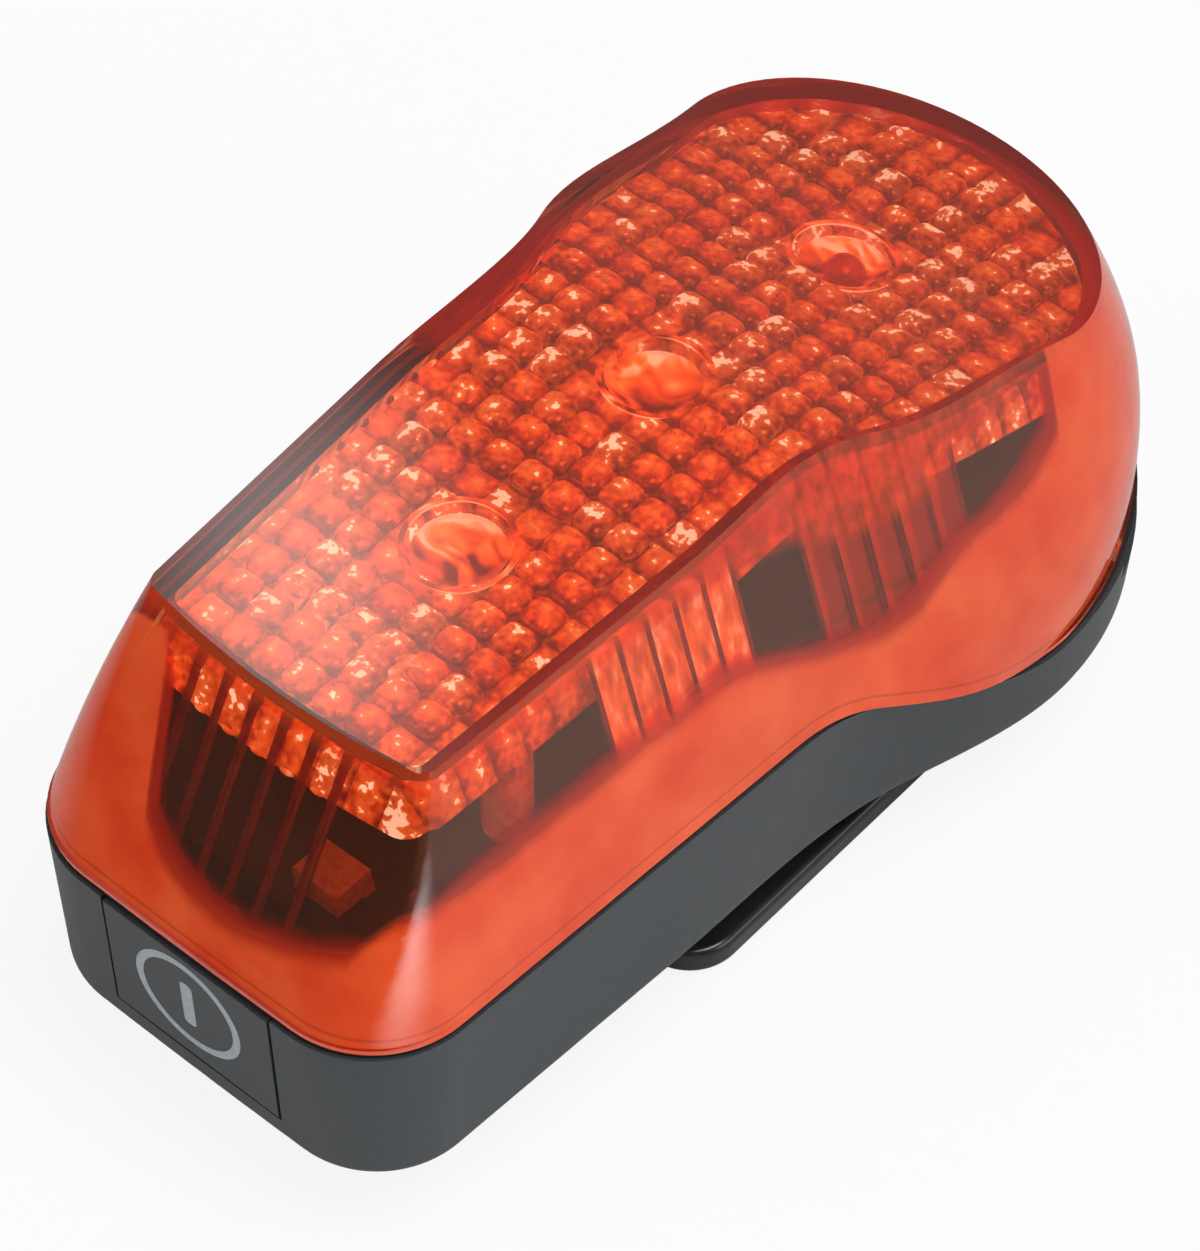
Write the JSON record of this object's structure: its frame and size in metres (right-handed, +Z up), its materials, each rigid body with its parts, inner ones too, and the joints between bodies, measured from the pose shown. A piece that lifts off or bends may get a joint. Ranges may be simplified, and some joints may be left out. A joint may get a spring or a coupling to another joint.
{
  "type": "bicycle tail light",
  "caption": "Battery bicycle tail light: flared red lens over a dark tray with two cells, a push key in the narrow end and a spring clip underneath for a strap or bracket.",
  "frame": {"origin": "on the tray's flat underside, in the plane of symmetry, halfway along the light", "axes": "+Z up out of the lens roof, +Y from the key end to the wide end, +X to the right seen from the key end"},
  "size_m": [0.0426, 0.081, 0.0385],
  "materials": {
    "tray_plastic": "slate-grey moulded ABS, fine satin texture",
    "clip_plastic": "near-black polished nylon",
    "lens_red": "clear red polycarbonate, polished",
    "optic_clear": "clear polycarbonate optic",
    "rubber": "black silicone rubber",
    "foam": "dark closed-cell foam",
    "board": "dark solder-masked glass-epoxy board",
    "led_red": "red diffused epoxy",
    "component_black": "black moulded package",
    "component_ceramic": "ceramic component body",
    "solder_metal": "tinned metal",
    "contact_metal": "nickel-plated steel",
    "screw_steel": "zinc-plated steel",
    "cell_can": "printed steel can, plain",
    "switch_black": "black nylon",
    "switch_white": "white nylon plunger"
  },
  "bodies": {
    "tray": {"base_shell": "tray_plastic", "seam_gasket": "rubber", "cell_left": "cell_can", "cell_right": "cell_can", "contact_positive": "contact_metal", "contact_negative": "contact_metal", "contact_bridge": "contact_metal", "spring_near": "contact_metal", "spring_far": "contact_metal", "clip_foot": "clip_plastic", "clip_screws": "screw_steel"},
    "lens_unit": {"lens_cover": "lens_red", "optic_insert": "optic_clear", "circuit_board": "board", "led_near": "led_red", "led_mid": "led_red", "led_far": "led_red", "led_leads": "solder_metal", "led_resistors": "component_ceramic", "led_drivers": "component_black", "controller_chip": "component_black", "chip_legs": "solder_metal", "storage_capacitor": "component_ceramic", "foam_pad": "foam", "board_screws": "screw_steel", "switch_body": "switch_black"},
    "power_key": {"power_button": "tray_plastic", "button_pad": "rubber"},
    "switch_plunger": {"switch_stem": "switch_white"},
    "clip": {"clip_tongue": "clip_plastic"}
  },
  "joints": [
    {"name": "lens_tilt", "type": "hinge", "parent": "tray", "child": "lens_unit", "pos_m": [0, -0.0406, 0.0132], "axis": [1, 0, 0], "range_deg": [0, 30]},
    {"name": "key_press", "type": "slide", "parent": "tray", "child": "power_key", "axis": [0, 1, 0], "range_m": [0, 0.0005], "stiffness_N_per_m": 900},
    {"name": "stem_press", "type": "slide", "parent": "lens_unit", "child": "switch_plunger", "axis": [0, 1, 0], "range_m": [0, 0.0005]},
    {"name": "clip_flex", "type": "hinge", "parent": "tray", "child": "clip", "pos_m": [0, 0.02285, -0.0072], "axis": [1, 0, 0], "range_deg": [0, 4], "stiffness_Nm_per_rad": 8}
  ],
  "couplings": [
    {"joint": "stem_press", "follows": "key_press", "ratio": 1}
  ]
}
